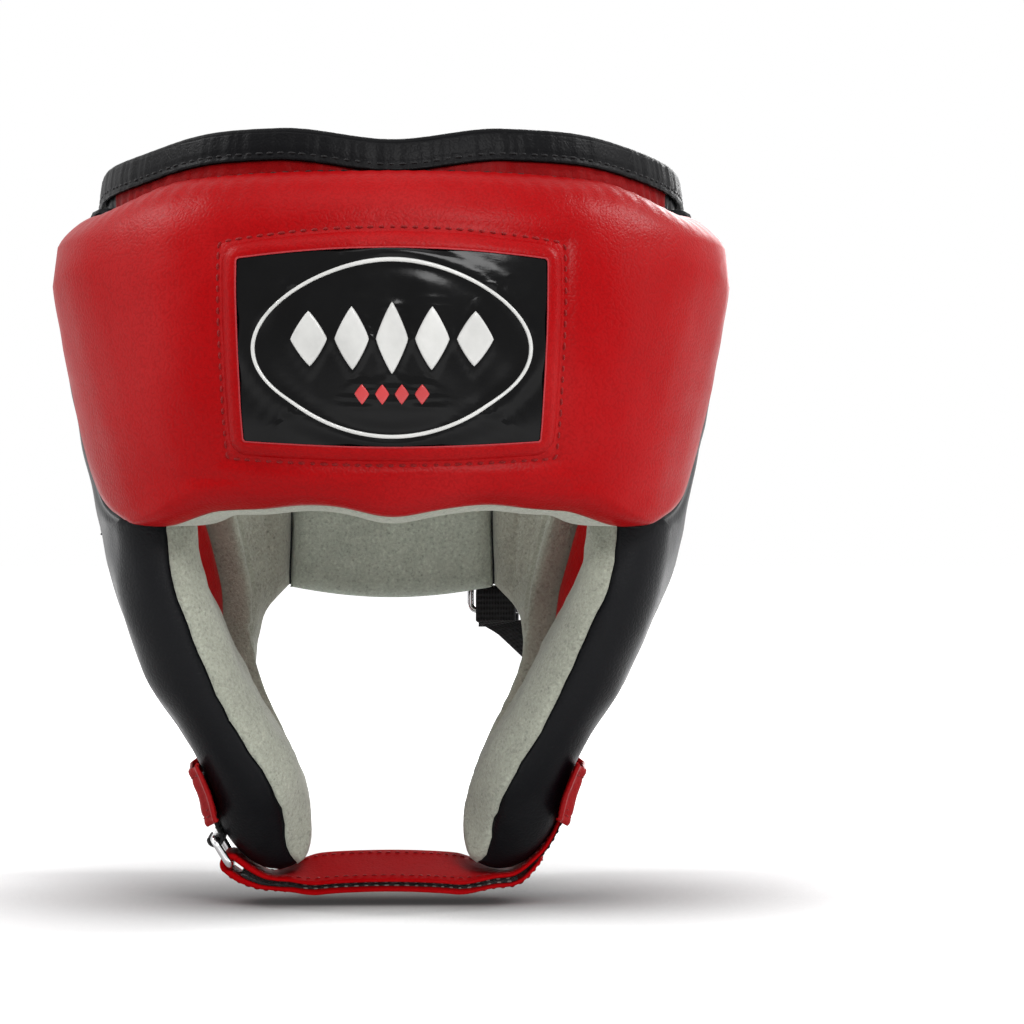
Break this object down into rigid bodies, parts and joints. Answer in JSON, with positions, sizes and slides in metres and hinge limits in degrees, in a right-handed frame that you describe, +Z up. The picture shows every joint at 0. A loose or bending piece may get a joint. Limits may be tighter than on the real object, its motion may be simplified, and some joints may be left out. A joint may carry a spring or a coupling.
{
  "type": "boxing headgear",
  "caption": "Padded open-face boxing headgear with stuffed ear rings, a brow badge, a suede lining, hook-and-loop rear straps and a chin strap that threads a wire ring.",
  "frame": {"origin": "centre of the wearer's head, midway between the ear openings", "axes": "-Y out of the face, +X to the wearer's left, +Z up towards the crown"},
  "size_m": [0.2278, 0.2083, 0.2521],
  "materials": {
    "red_leather": "semi-gloss grained leather",
    "black_leather": "satin smooth leather with a fine grain",
    "suede": "matte suede",
    "foam": "matte foam",
    "black_mesh": "matte ribbed elastic and webbing",
    "loop_pile": "matte loop pile",
    "hook_tape": "matte moulded hooks",
    "steel_wire": "bright plated wire",
    "badge_black": "satin moulded sheet",
    "badge_white": "matte print"
  },
  "bodies": {
    "shell": {"brow_cover": "red_leather", "brow_foam": "foam", "brow_lining": "suede", "left_side_cover": "black_leather", "left_side_foam": "foam", "left_side_lining": "suede", "right_side_cover": "black_leather", "right_side_foam": "foam", "right_side_lining": "suede", "left_ear_ring": "red_leather", "right_ear_ring": "red_leather", "left_ear_strap": "black_leather", "right_ear_strap": "black_leather", "left_ear_roundel": "red_leather", "right_ear_roundel": "red_leather", "brow_collar": "red_leather", "left_collar": "black_leather", "right_collar": "black_leather", "top_binding": "black_leather", "badge_plate": "badge_black", "badge_oval": "badge_white", "rear_pad_cover": "black_leather", "rear_pad_foam": "foam", "rear_pad_lining": "suede", "rear_elastic": "black_mesh", "left_cheek_patch": "red_leather", "right_cheek_patch": "red_leather", "chin_strap": "red_leather", "chin_loop_strip": "loop_pile", "chin_ring": "steel_wire", "chin_ring_loop": "black_mesh", "upper_strap_anchor": "red_leather", "upper_loop_patch": "loop_pile", "lower_strap": "red_leather", "lower_loop_strip": "loop_pile", "rear_ring": "steel_wire", "rear_ring_webbing": "black_mesh"},
    "chin_tail": {"chin_strap_tail": "red_leather", "chin_hook_strip": "hook_tape"},
    "upper_strap": {"upper_strap": "red_leather", "upper_hook_strip": "hook_tape"},
    "lower_tail": {"lower_strap_tail": "red_leather", "lower_hook_strip": "hook_tape"}
  },
  "joints": [
    {"name": "chin_tail_peel", "type": "hinge", "parent": "shell", "child": "chin_tail", "pos_m": [-0.05543, -0.038, -0.1089], "axis": [0, 1, 0], "range_deg": [0, 110]},
    {"name": "upper_strap_peel", "type": "hinge", "parent": "shell", "child": "upper_strap", "pos_m": [-0.03989, 0.07214, 0.06138], "axis": [0.0041, 0.0126, 0.9999], "range_deg": [0, 110]},
    {"name": "lower_tail_peel", "type": "hinge", "parent": "shell", "child": "lower_tail", "pos_m": [0.0482, 0.06981, 0.01028], "axis": [0.0056, -0.0447, -0.999], "range_deg": [0, 110]}
  ]
}
